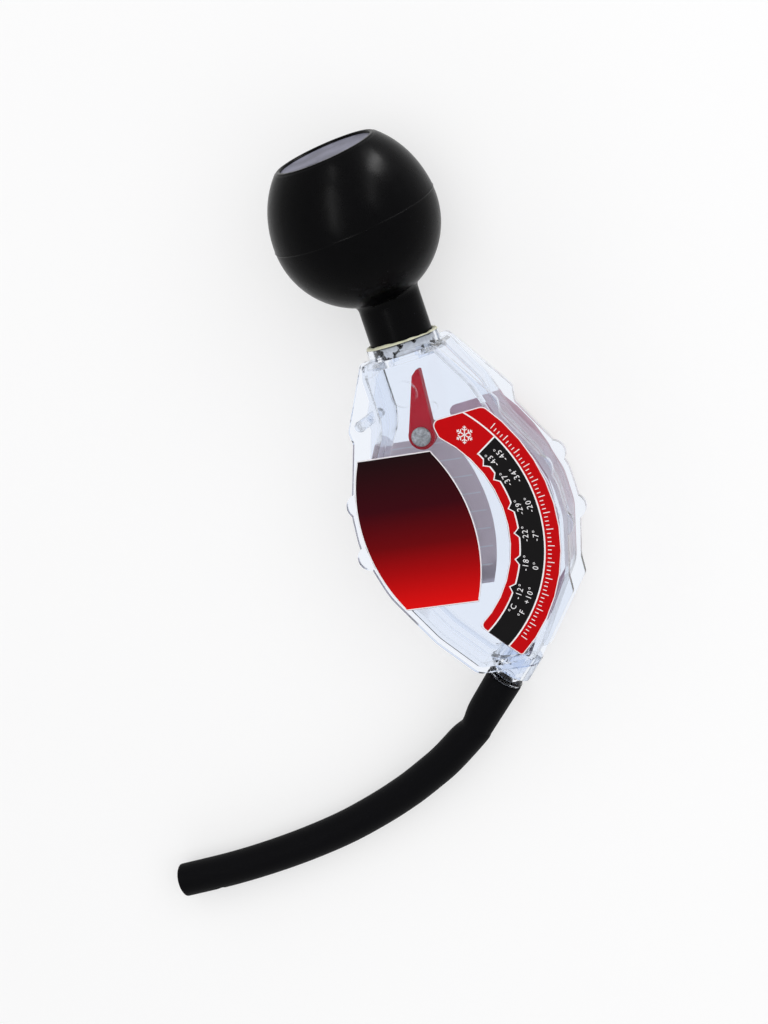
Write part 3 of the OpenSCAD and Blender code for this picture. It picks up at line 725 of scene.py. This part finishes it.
def badge(side, front):
    """One badge: its film, its white ground and its printed face."""
    ground, face = (shrunk(badge_outline, edge) for edge in (WHITE_EDGE, FACE_EDGE))
    return {
        "film": plate(f"{side}_badge_film", badge_outline, FILM_BACK, FILM_FACE, front),
        "ground": plate(f"{side}_badge_ground", ground, *layer(0), front),
        "face": plate(f"{side}_badge_face", face, *layer(1), front),
    }


badge_levels = np.linspace(BADGE_LOW, BADGE_TOP, BADGE_POINTS)
badge_outline = np.vstack([badge_side(*BADGE_ARCS[0], badge_levels),
                           badge_side(*BADGE_ARCS[1], badge_levels[::-1])])
badge_pieces = {}
for side, front, slot_start in SIDES:
    badge_pieces[side] = badge(side, front)
    for part, piece in badge_pieces[side].items():
        node = f"{side}_badge_label" if part == "film" else None
        on_chamber(piece, node)

line_rights, line_lefts = (badge_side(*one, LINE_LEVELS) for one in BADGE_ARCS)
inset = LINE_INSET * badge_way
for name, heights in (("rear_badge_rules", layer(2)),
                      ("rear_badge_show_through", (FILM_BACK - LAYER, FILM_BACK))):
    lines = strokes(name, line_lefts + inset, line_rights - inset, LINE_WIDE, *heights, False)
    badge_pieces["rear"][name] = on_chamber(lines)
print("badge outline", len(badge_outline), "points,", len(LINE_LEVELS), "lines on the rear one")

# %% [markdown]
# ## Finishes
# A shader is a sum of small terms: a colour that drifts, a roughness with specks, a bump of
# several sizes. Written with nodes one at a time such a sum is hard to read, so a small class
# wraps a socket and lets Python's own operators add the Math nodes.

# %% Shader sums as Python
class Wire:
    """A socket of a node tree that takes part in sums: operators on wires and numbers add Math
    nodes."""

    def __init__(self, tree, socket=None):
        self.tree, self.socket = tree, socket

    def node(self, kind, settings=None, sockets=None, out=0):
        """Any node: its settings first, with a ramp's stops among them, then the values or wires
        of its sockets."""
        made = self.tree.nodes.new(kind)
        for key, value in (settings or {}).items():
            if key == "stops":
                ends = made.color_ramp.elements
                ends[0].position, ends[0].color = value[0][0], (*value[0][1], 1)
                ends[1].position, ends[1].color = value[-1][0], (*value[-1][1], 1)
                for at, colour in value[1:-1]:
                    ends.new(at).color = (*colour, 1)
            else:
                setattr(made, key, value)
        plug(self.tree, made, sockets or {})
        return Wire(self.tree, made.outputs[out] if made.outputs else None)

    def math(self, operation, *values):
        """A Math node on wires and numbers."""
        return self.node("ShaderNodeMath", {"operation": operation}, dict(enumerate(values)))

    def __add__(self, other):
        return self.math("ADD", self, other)

    def __sub__(self, other):
        return self.math("SUBTRACT", self, other)

    def __rsub__(self, other):
        return self.math("SUBTRACT", other, self)

    def __mul__(self, other):
        return self.math("MULTIPLY", self, other)

    __radd__, __rmul__ = __add__, __mul__

    def between(self, low, high):
        """0 below low, 1 above high, smooth in between."""
        return self.node("ShaderNodeMapRange", {"interpolation_type": "SMOOTHSTEP"},
                         {"Value": self, "From Min": low, "From Max": high})

    def noise(self, size, detail=2.0, roughness=0.5):
        """Noise from 0 to 1 on this wire's vector, with features of a size in metres."""
        return self.node("ShaderNodeTexNoise", {}, {
            "Vector": self, "Scale": 1 / size, "Detail": detail, "Roughness": roughness})

    def tint(self, dark, light):
        """A colour that goes from dark to light as this wire goes from 0 to 1."""
        ends = [c if isinstance(c, Wire) else (*c, 1) for c in (dark, light)]
        return self.node("ShaderNodeMix", {"data_type": "RGBA"},
                         {0: self, 6: ends[0], 7: ends[1]}, out=2)

    def bump(self, depth):
        """A normal from this wire as a height, 1 being depth in metres."""
        return self.node("ShaderNodeBump", {}, {"Height": self, "Distance": depth, "Strength": 1.0})

    def vector(self, operation, other=(0, 0, 0), out="Value"):
        """A Vector Math node on this wire and a fixed vector."""
        return self.node("ShaderNodeVectorMath", {"operation": operation},
                         {0: self, 1: tuple(other)}, out)

    def along(self, way):
        """The vector's part along a direction."""
        return self.vector("DOT_PRODUCT", way)

    def stretched(self, scale):
        """The vector multiplied part by part."""
        return self.vector("MULTIPLY", scale, "Vector")


def plug(tree, node, sockets):
    """Values or wires for a node's sockets."""
    for key, value in sockets.items():
        if isinstance(value, Wire):
            tree.links.new(value.socket, node.inputs[key])
        else:
            node.inputs[key].default_value = value


print("a wire can make", [name for name in vars(Wire) if not name.startswith("_")])


# %% Colours and materials
def srgb(*colour):
    """Linear values of a colour given as it is seen, 0 to 255: the sRGB curve."""
    c = np.array(colour) / 255
    return tuple(np.where(c > 0.04045, ((c + 0.055) / 1.055) ** 2.4, c / 12.92))


def finish(name, paint):
    """A material whose main shader gets the sockets that paint(point) returns for the Object
    coordinate."""
    material = bpy.data.materials.new(name)
    material.use_nodes = True
    tree = material.node_tree
    point = Wire(tree).node("ShaderNodeTexCoord", out="Object")
    plug(tree, tree.nodes["Principled BSDF"], paint(point))
    return material


def mixed(material, other, share):
    """A second shader mixed into a material: other(tree) makes it, and share(tree) its part."""
    tree = material.node_tree
    first = Wire(tree, tree.nodes["Principled BSDF"].outputs[0])
    both = Wire(tree).node("ShaderNodeMixShader", {}, {0: share(tree), 1: first, 2: other(tree)})
    tree.links.new(both.socket, tree.nodes["Material Output"].inputs["Surface"])


def ray(tree, kind):
    """1 for rays of one kind, such as Camera, and 0 for others."""
    return Wire(tree).node("ShaderNodeLightPath", out=f"Is {kind} Ray")


def wear(material, *pieces):
    """The material on all of these pieces, new ones and CAD nodes."""
    for piece in pieces:
        piece.data.materials.clear()
        piece.data.materials.append(material)


print("a grey of 128 is", round(float(srgb(128)[0]), 3), "in linear light")


# %% [markdown]
# ### Rubber
# The bulb is moulded in a polished tool, so it is black with a soft gloss that is broken by
# faint waves and a fine grain. The hose is extruded: duller, with streaks that run along it.
# The streaks follow the hose, not the room, so each point of its mesh carries its angle and
# its distance along the line as an attribute. The gloss is kept low, because the room is white.

# %% Moulded rubber
RUBBER_GLOSS = 0.045
GLUE_TOP, GLUE_FULL = 0.0001, 0.0008


def moulded_rubber(p):
    """Black with a little dust in its colour and roughness, and waves and grain as its bump."""
    wave, grain, dust = p.noise(0.011), p.noise(0.00035, 3), p.noise(0.004, 4, 0.6)
    return {
        "Base Color": dust.tint((0.0002, 0.0002, 0.0003), (0.001, 0.001, 0.0013)),
        "Roughness": 0.22 + 0.08 * dust + 0.04 * grain,
        "Normal": (wave * 6 + grain * 0.15).bump(0.00003),
        "Specular IOR Level": RUBBER_GLOSS,
    }


def glued_rubber(p):
    """The same rubber, smeared with glue below the collar's mouth, with gaps where noise is low."""
    bare = moulded_rubber(p)
    way = turn([0, 1, 0])
    mouth = float(lay([0, SEAL_Y, 0]) @ way)
    below = (mouth - p.along(way)).between(GLUE_TOP, GLUE_FULL)
    smear = p.noise(0.0042, 4, 0.55)
    glue = below * smear.between(0.44, 0.49)
    cream = p.noise(0.0012, 3).tint(srgb(172, 174, 176), srgb(230, 231, 234))
    return bare | {
        "Base Color": glue.tint(bare["Base Color"], cream),
        "Roughness": bare["Roughness"] + 0.2 * glue,
        "Normal": (smear * below).bump(0.0002),
    }


wear(finish("bulb_rubber", moulded_rubber), ball)
wear(finish("neck_rubber", glued_rubber), neck)
print("moulded rubber on", ball.name, "and", neck.name)

# %% Extruded rubber
STREAK_ACROSS, STREAK_ALONG = 0.02, 0.238


def extruded_rubber(p):
    """Black with long streaks: noise on the hose's own coordinates, drawn out along its length."""
    skin = p.node("ShaderNodeAttribute", {"attribute_name": "skin"}, out="Vector")
    streak = skin.stretched((STREAK_ACROSS, STREAK_ACROSS, STREAK_ALONG)).noise(0.0012, 3, 0.6)
    dust, grain = p.noise(0.003, 4, 0.65), p.noise(0.0003, 2)
    shade = streak * 0.5 + dust * 0.5
    return {
        "Base Color": shade.tint((0.0003, 0.0003, 0.0005), (0.0018, 0.0018, 0.0026)),
        "Roughness": 0.44 + 0.14 * dust + 0.06 * streak,
        "Normal": (streak + grain * 0.6 + dust * 0.5).bump(0.00005),
        "Specular IOR Level": RUBBER_GLOSS,
    }


ring_skin = np.stack(np.broadcast_arrays(np.cos(hose_turn), np.sin(hose_turn), far[:, None]), -1)
skin_values = np.concatenate([ring_skin, ring_skin[::-1]]).reshape(-1)
skin_attribute = hose.data.attributes.new("skin", "FLOAT_VECTOR", "POINT")
skin_attribute.data.foreach_set("vector", skin_values)
wear(finish("hose_rubber", extruded_rubber), hose)
print("extruded rubber on", hose.name)


# %% [markdown]
# ### Clear plastic
# The chamber is clear styrene with a faint cold tint, which shows where one looks along the
# wall. It is a glass-like shader, with a weak reflection head-on, because a white room would
# veil what lies inside. Lamps would stop at it and leave the print behind it dark, so for the
# rays that look for lamps it is a plain see-through surface.
#
# The CAD model's round walls come as flat facets, and clear plastic shows every one of them. A
# modifier that joins the corners and shades the shallow edges smooth takes the facets out of
# the light without moving a point.

# %% Smooth round walls
SHALLOW_EDGE, JOIN = 28, 1e-6
ROUND_NODES = ("front_shell", "rear_shell", "hose_spigot", "pointer", "pivot_pin", "bulb_end_disc")


def smooth_walls():
    """A modifier's nodes: corners that lie together are joined, and edges flatter than a limit in
    degrees shade smooth."""
    group = bpy.data.node_groups.new("smooth_walls", "GeometryNodeTree")
    for way in ("INPUT", "OUTPUT"):
        group.interface.new_socket("Geometry", in_out=way, socket_type="NodeSocketGeometry")
    start = Wire(group)
    bare = start.node("GeometryNodeRemoveAttribute", {}, {
        "Geometry": start.node("NodeGroupInput"), "Name": "custom_normal"})
    joined = start.node("GeometryNodeMergeByDistance", {}, {"Geometry": bare, "Distance": JOIN})
    faces = start.node("GeometryNodeSetShadeSmooth", {"domain": "FACE"}, {"Geometry": joined})
    bend = start.node("GeometryNodeInputMeshEdgeAngle")
    shallow = start.math("LESS_THAN", bend, math.radians(SHALLOW_EDGE))
    edges = start.node("GeometryNodeSetShadeSmooth", {"domain": "EDGE"},
                       {"Geometry": faces, "Shade Smooth": shallow})
    start.node("NodeGroupOutput", {}, {0: edges})
    return group


walls = smooth_walls()
for node in ROUND_NODES:
    NODES[node].modifiers.new("smooth_walls", "NODES").node_group = walls
    NODES[node].modifiers.new("flat_faces", "WEIGHTED_NORMAL").keep_sharp = True
print("smooth walls on", len(ROUND_NODES), "round pieces of the CAD model")


# %% Clear styrene
LAMP_TINT = (0.98, 0.984, 0.998, 1)


def styrene(p):
    """Clear and cold, with a slow wave as its bump and a few dull scuffs."""
    wave, scuff = p.noise(0.009), p.noise(0.0012, 4, 0.7)
    return {
        "Base Color": (0.866, 0.9, 0.96, 1),
        "Roughness": 0.012 + 0.05 * scuff.between(0.58, 0.85),
        "Transmission Weight": 1.0,
        "IOR": 1.38,
        "Specular Tint": (0.45, 0.45, 0.45, 1),
        "Normal": wave.bump(0.00003),
    }


def see_through(tree):
    """A surface that lets light straight through."""
    return Wire(tree).node("ShaderNodeBsdfTransparent", {}, {"Color": LAMP_TINT})


clear = finish("clear_styrene", styrene)
mixed(clear, see_through, lambda tree: ray(tree, "Shadow"))
wear(clear, NODES["front_shell"], NODES["rear_shell"], NODES["hose_spigot"])
print("clear plastic on the shells and the spigot")


# %% [markdown]
# ### Prints
# Ink is flat colour, but never quite even: it has a slight mottle, and a faint orange-peel
# gloss from the screen. The badge fades along its own slanted height, which is one dot product
# with the Object coordinate and a ramp.

# %% Inks and films
INK_GLOSS, INK_ROUGH, BACK_ROUGH = 0.05, 0.34, 0.45
SCREEN, SCREEN_DEEP = 0.00025, 0.000006
INKS = {"white": (238, 236, 238), "black": (20, 19, 20), "red": (188, 8, 14),
        "deep_red": (140, 8, 14), "pale_line": (252, 250, 252)}
# The film backs are painted lighter than the films' own colours: painted light that stands in for
# the light shining through the films from behind.
FILM_BACKS_PAINTED_LIGHTER = {"grey_film_painted_light": (246, 231, 234), "mauve_film_painted_light": (224, 192, 203)}


def ink(colour, rough=INK_ROUGH):
    """Ink of a colour with a mottle of a few percent and a fine screen texture."""
    def paint(p):
        mottle = p.noise(0.0024, 3)
        dark, light = (np.array(srgb(*colour)) * k for k in (0.93, 1.05))
        return {
            "Base Color": mottle.tint(dark, light),
            "Roughness": rough + 0.08 * mottle,
            "Normal": p.noise(SCREEN, 2).bump(SCREEN_DEEP),
            "Specular IOR Level": INK_GLOSS,
        }
    return paint


def fading_ink(p):
    """Ink whose colour is a ramp over the badge's own height, 0 at its foot and 1 at its top."""
    way = turn([*badge_up, 0])
    above_middle = (p.along(way) - float(lay([0, 0, FILM_FACE]) @ way)) * (1 / MM)
    height = (above_middle - BADGE_LOW) * (1 / (BADGE_TOP - BADGE_LOW))
    stops = [(0.0, srgb(218, 14, 14)), (0.24, srgb(161, 6, 10)), (0.42, srgb(103, 4, 9)),
             (0.66, srgb(54, 3, 12)), (0.98, srgb(26, 7, 10))]
    return {
        "Base Color": p.node("ShaderNodeValToRGB", {"stops": stops}, {0: height}),
        "Roughness": INK_ROUGH + 0.06 * p.noise(0.003),
        "Normal": p.noise(SCREEN, 2).bump(SCREEN_DEEP),
        "Specular IOR Level": INK_GLOSS,
    }


inks = {name: finish(f"{name}_ink", ink(colour)) for name, colour in INKS.items()}
backs = {name: finish(f"{name}_back", ink(colour, BACK_ROUGH))
         for name, colour in FILM_BACKS_PAINTED_LIGHTER.items()}
print("inks", list(inks), "and backs of films", list(backs))

# %% Colours of the labels
white_layers = ("ground", "tooth_rule", "long_rule", "top_rule", "numbers", "ticks", "star")
for side, dial in dial_pieces.items():
    wear(inks["white"], *(dial[part] for part in white_layers))
    wear(inks["red" if side == "front" else "deep_red"], dial["field"])
    wear(inks["black"], dial["band"])
    wear(backs["mauve_film_painted_light"], dial["film"])
for made in badge_pieces.values():
    wear(inks["white"], made["ground"])
    wear(backs["grey_film_painted_light"], made["film"], made["face"])
    wear(inks["pale_line"], *(piece for part, piece in made.items() if part.startswith("rear_")))
wear(finish("fading_ink", fading_ink), badge_pieces["front"]["face"])
printed = (*dial_pieces.values(), *badge_pieces.values())
print("inks on", sum(len(made) for made in printed), "pieces")


# %% [markdown]
# ### Small parts
# The pointer is red moulded plastic, the pin a plain steel rivet with a worn head, the ballast
# brass, the disc a dull grey cap with stains, and the sealant a cream wax with pits.

# %% Pointer
def dress(paint, piece):
    """A piece in a finish of its own, which is named after its paint."""
    wear(finish(paint.__name__, paint), piece)
    print(paint.__name__, "on", piece.name)


def red_plastic(p):
    """Red that clouds slowly, lets a little light in, and has a fine moulded grain."""
    cloud, grain = p.noise(0.006, 3), p.noise(0.0005, 2)
    return {
        "Base Color": cloud.tint(srgb(166, 4, 30), srgb(188, 10, 41)),
        "Roughness": 0.28 + 0.1 * cloud,
        "Specular IOR Level": 0.08,
        "Subsurface Weight": 0.15,
        "Subsurface Radius": (0.004, 0.0008, 0.0008),
        "Normal": (cloud + 0.2 * grain).bump(0.00003),
    }


dress(red_plastic, NODES["pointer"])


# %% Pin and ballast
def worn_steel(p):
    """Dull steel in pale and dark patches, with scratches along X and small pits."""
    patch, pit = p.noise(0.0016, 4, 0.65), p.noise(0.0005, 3)
    scratch = p.stretched((1, 6, 6)).noise(0.0012, 3)
    return {
        "Base Color": patch.between(0.3, 0.7).tint((0.24, 0.245, 0.24), (0.66, 0.67, 0.66)),
        "Metallic": 0.6,
        "Roughness": 0.42 + 0.25 * patch,
        "Normal": (scratch + pit).bump(0.00006),
    }


def dull_brass(p):
    """Brass that is brighter and rougher in patches."""
    patch = p.noise(0.002, 4, 0.6)
    return {
        "Base Color": patch.tint((0.42, 0.28, 0.10), (0.62, 0.45, 0.18)),
        "Metallic": 1.0,
        "Roughness": 0.35 + 0.2 * patch,
        "Normal": patch.bump(0.00004),
    }


dress(worn_steel, NODES["pivot_pin"])
dress(dull_brass, NODES["pointer_weight"])


# %% Disc and sealant
def stained_disc(p):
    """Grey with wide stains and small specks, a grain as its bump."""
    cloud = p.noise(0.012, 4, 0.6).between(0.3, 0.7)
    speck, grain = p.noise(0.0011, 3), p.noise(0.0004, 2)
    return {
        "Base Color": (cloud * 0.7 + speck * 0.3).tint(srgb(84, 84, 98), srgb(140, 140, 156)),
        "Roughness": 0.5 + 0.18 * cloud,
        "Specular IOR Level": 0.2,
        "Normal": (cloud + 0.4 * speck + 0.2 * grain).bump(0.00008),
    }


def cream_wax(p):
    """Cream that lets light in, with soft lumps and pits."""
    cloud, pit = p.noise(0.003, 3), p.noise(0.0007, 3)
    return {
        "Base Color": cloud.tint(srgb(196, 194, 166), srgb(226, 226, 204)),
        "Roughness": 0.42 + 0.15 * cloud,
        "Subsurface Weight": 0.2,
        "Subsurface Radius": (0.002, 0.0018, 0.001),
        "Normal": (cloud + 0.6 * pit).bump(0.00015),
    }


dress(stained_disc, NODES["bulb_end_disc"])
dress(cream_wax, seal)

# %% [markdown]
# ## Studio
# The photograph has a white ground, soft light from all sides, black rubber that stays black,
# and long soft streaks on the ball. So the room is white near the horizon and dark overhead,
# a wide soft lamp near the camera lights everything evenly, and four narrow lamps that shine
# on the rubber alone make the streaks. To the camera, and by way of gloss and clear plastic,
# the room is plain white. The floor near the object is half white of its own and half lit, so
# the shadow stays, and further off the camera sees it go over to the same white as the room.

# %% The floor
FLOOR_REACH, FLOOR_OWN = 3, 0.5
FADE_FROM, FADE_TO = 0.15, 0.9


def pale_paper(p):
    """Nearly white, with a wide faint cloud."""
    return {
        "Base Color": p.noise(0.4).tint((0.94, 0.94, 0.945), (0.96, 0.96, 0.965)),
        "Roughness": 0.9,
    }


def plain_white(tree):
    """White of strength 1, whatever light falls on it."""
    return Wire(tree).node("ShaderNodeEmission", {}, {"Strength": 1.0})


def floor_share(tree):
    """How much of the floor is plain white: a fixed part for the three kinds of rays that show a
    background, which grows to all of it with the distance from the object for the camera."""
    point = Wire(tree).node("ShaderNodeTexCoord", out="Object")
    away = point.vector("LENGTH").between(FADE_FROM, FADE_TO)
    growing = FLOOR_OWN + (1 - FLOOR_OWN) * away
    beyond = FLOOR_OWN * ray(tree, "Transmission") + FLOOR_OWN * ray(tree, "Glossy")
    return growing * ray(tree, "Camera") + beyond


corners = FLOOR_REACH * np.array([[-1, -1, 0], [1, -1, 0], [1, 1, 0], [-1, 1, 0]], float)
floor = mesh_object("floor", corners, [[0, 1, 2, 3]])
paper = finish("pale_floor", pale_paper)
mixed(paper, plain_white, floor_share)
wear(paper, floor)
print("floor", 2 * FLOOR_REACH, "m wide")

# %% The room
HORIZON, OVERHEAD = 1.0, 0.08
WHITE_BELOW, DARK_ABOVE = (math.sin(math.radians(angle)) for angle in (28, 52))
world = bpy.data.worlds.new("studio")
bpy.context.scene.world = world
world.use_nodes = True
sky = world.node_tree
height = Wire(sky).node("ShaderNodeTexCoord", out="Generated").along((0, 0, 1))
glow = HORIZON - (HORIZON - OVERHEAD) * height.between(WHITE_BELOW, DARK_ABOVE)
seen = ray(sky, "Camera")
for kind in ("Glossy", "Transmission"):
    seen = seen.math("MAXIMUM", seen, ray(sky, kind))
plug(sky, sky.nodes["Background"], {
    "Strength": glow * (1 - seen) + seen, "Color": (1, 1, 1, 1)})
print("room", HORIZON, "at the horizon and", OVERHEAD, "overhead")


# %% Lamps
def lamp(name, across, up, size, radiance, distance=0.9, only=None):
    """A rectangular lamp seen from the ball at angles from the camera's axis, facing the ball.
    An area lamp of power P and area A sends out P / (pi A). It may shine only on some pieces."""
    x, y = math.radians(across), math.radians(up)
    way = np.array([math.sin(x), math.cos(x) * math.sin(y), math.cos(x) * math.cos(y)]) @ VIEW_AXES
    tall = np.array([0, math.cos(y), -math.sin(y)]) @ VIEW_AXES
    data = bpy.data.lights.new(name, "AREA")
    data.shape, data.size, data.size_y = "RECTANGLE", *size
    data.energy = radiance * math.pi * size[0] * size[1]
    axes = np.stack([np.cross(tall, way), tall, way], 1)
    made = stand(bpy.data.objects.new(name, data), axes, lay(ball_at) + way * distance)
    made.visible_camera = made.visible_transmission = False
    made.visible_glossy = only is not None
    made.light_linking.receiver_collection = only


rubber = bpy.data.collections.new("rubber")
for piece in (ball, neck, hose):
    rubber.objects.link(piece)
lamp("key", 0, 0, (2.0, 2.0), 1.22, distance=1.1)
lamp("left_streak", -25, 3, (0.12, 0.75), 9.5, only=rubber)
lamp("left_far_streak", -20, 44, (0.1, 0.3), 8, only=rubber)
lamp("right_streak", 26, 69, (0.036, 0.12), 29, distance=0.2, only=rubber)
lamp("right_low_streak", 25, 30, (0.1, 0.55), 6.5, only=rubber)

# %% [markdown]
# ## Finish
# The colours are shown as they are written, with no film curve.

# %% Colours as written
bpy.context.scene.view_settings.view_transform = "Standard"
